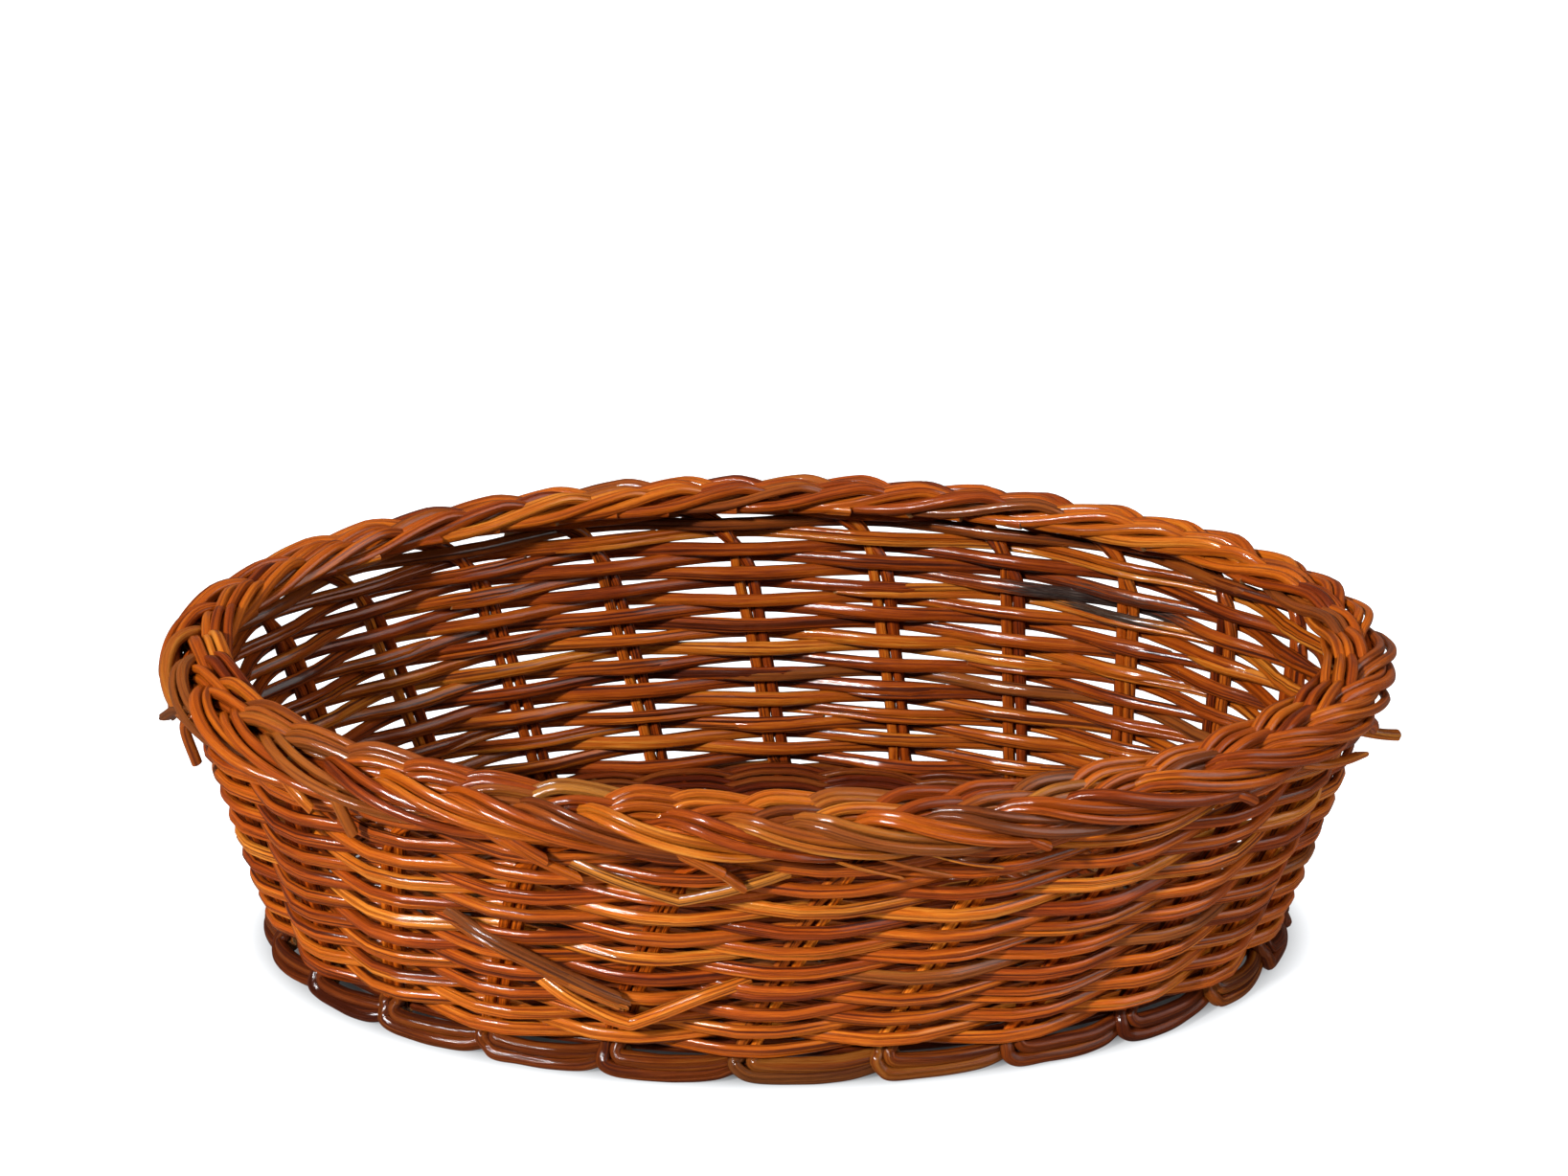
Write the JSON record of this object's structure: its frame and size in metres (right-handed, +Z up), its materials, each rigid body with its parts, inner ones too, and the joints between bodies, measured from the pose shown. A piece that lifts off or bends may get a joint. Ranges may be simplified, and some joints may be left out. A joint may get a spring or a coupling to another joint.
{
  "type": "oval wicker basket",
  "caption": "Low oval open wicker basket: flared wall of cane woven round paired stakes, plaited rim, looped foot and woven stick base, no handles or lid.",
  "frame": {"origin": "on the floor under the middle of the basket, the bottom centre of its bounding box", "axes": "+X along the long axis of the oval, +Y across it, +Z up out of the open top"},
  "size_m": [0.3994, 0.2636, 0.1102],
  "materials": {
    "side_weaver": "varnished, satin gloss",
    "stake": "varnished, satin gloss",
    "rim_rod": "varnished, satin gloss",
    "foot_rod": "varnished, satin gloss",
    "base_stick": "varnished, satin gloss",
    "base_weaver": "varnished, satin gloss"
  },
  "bodies": {
    "root": {"side_row_01": "side_weaver", "side_row_02": "side_weaver", "side_row_03": "side_weaver", "side_row_04": "side_weaver", "side_row_05": "side_weaver", "side_row_06": "side_weaver", "side_row_07": "side_weaver", "side_row_08": "side_weaver", "side_row_09": "side_weaver", "side_row_10": "side_weaver", "side_row_11": "side_weaver", "side_row_12": "side_weaver", "side_row_13": "side_weaver", "side_row_14": "side_weaver", "side_row_15": "side_weaver", "side_row_16": "side_weaver", "side_row_17": "side_weaver", "side_row_18": "side_weaver", "side_row_19": "side_weaver", "side_row_20": "side_weaver", "side_row_21": "side_weaver", "stake_pair_01": "stake", "stake_pair_02": "stake", "stake_pair_03": "stake", "stake_pair_04": "stake", "stake_pair_05": "stake", "stake_pair_06": "stake", "stake_pair_07": "stake", "stake_pair_08": "stake", "stake_pair_09": "stake", "stake_pair_10": "stake", "stake_pair_11": "stake", "stake_pair_12": "stake", "stake_pair_13": "stake", "stake_pair_14": "stake", "stake_pair_15": "stake", "stake_pair_16": "stake", "stake_pair_17": "stake", "stake_pair_18": "stake", "stake_pair_19": "stake", "stake_pair_20": "stake", "stake_pair_21": "stake", "stake_pair_22": "stake", "stake_pair_23": "stake", "stake_pair_24": "stake", "rim_plait_strand_1": "rim_rod", "rim_plait_strand_2": "rim_rod", "rim_plait_strand_3": "rim_rod", "rim_plait_strand_4": "rim_rod", "rim_plait_strand_5": "rim_rod", "foot_border": "foot_rod", "base_cross_sticks": "base_stick", "base_long_sticks": "base_stick", "base_round_1": "base_weaver", "base_round_2": "base_weaver", "base_round_3": "base_weaver", "base_round_4": "base_weaver", "base_round_5": "base_weaver", "base_round_6": "base_weaver", "base_round_7": "base_weaver"}
  },
  "joints": []
}
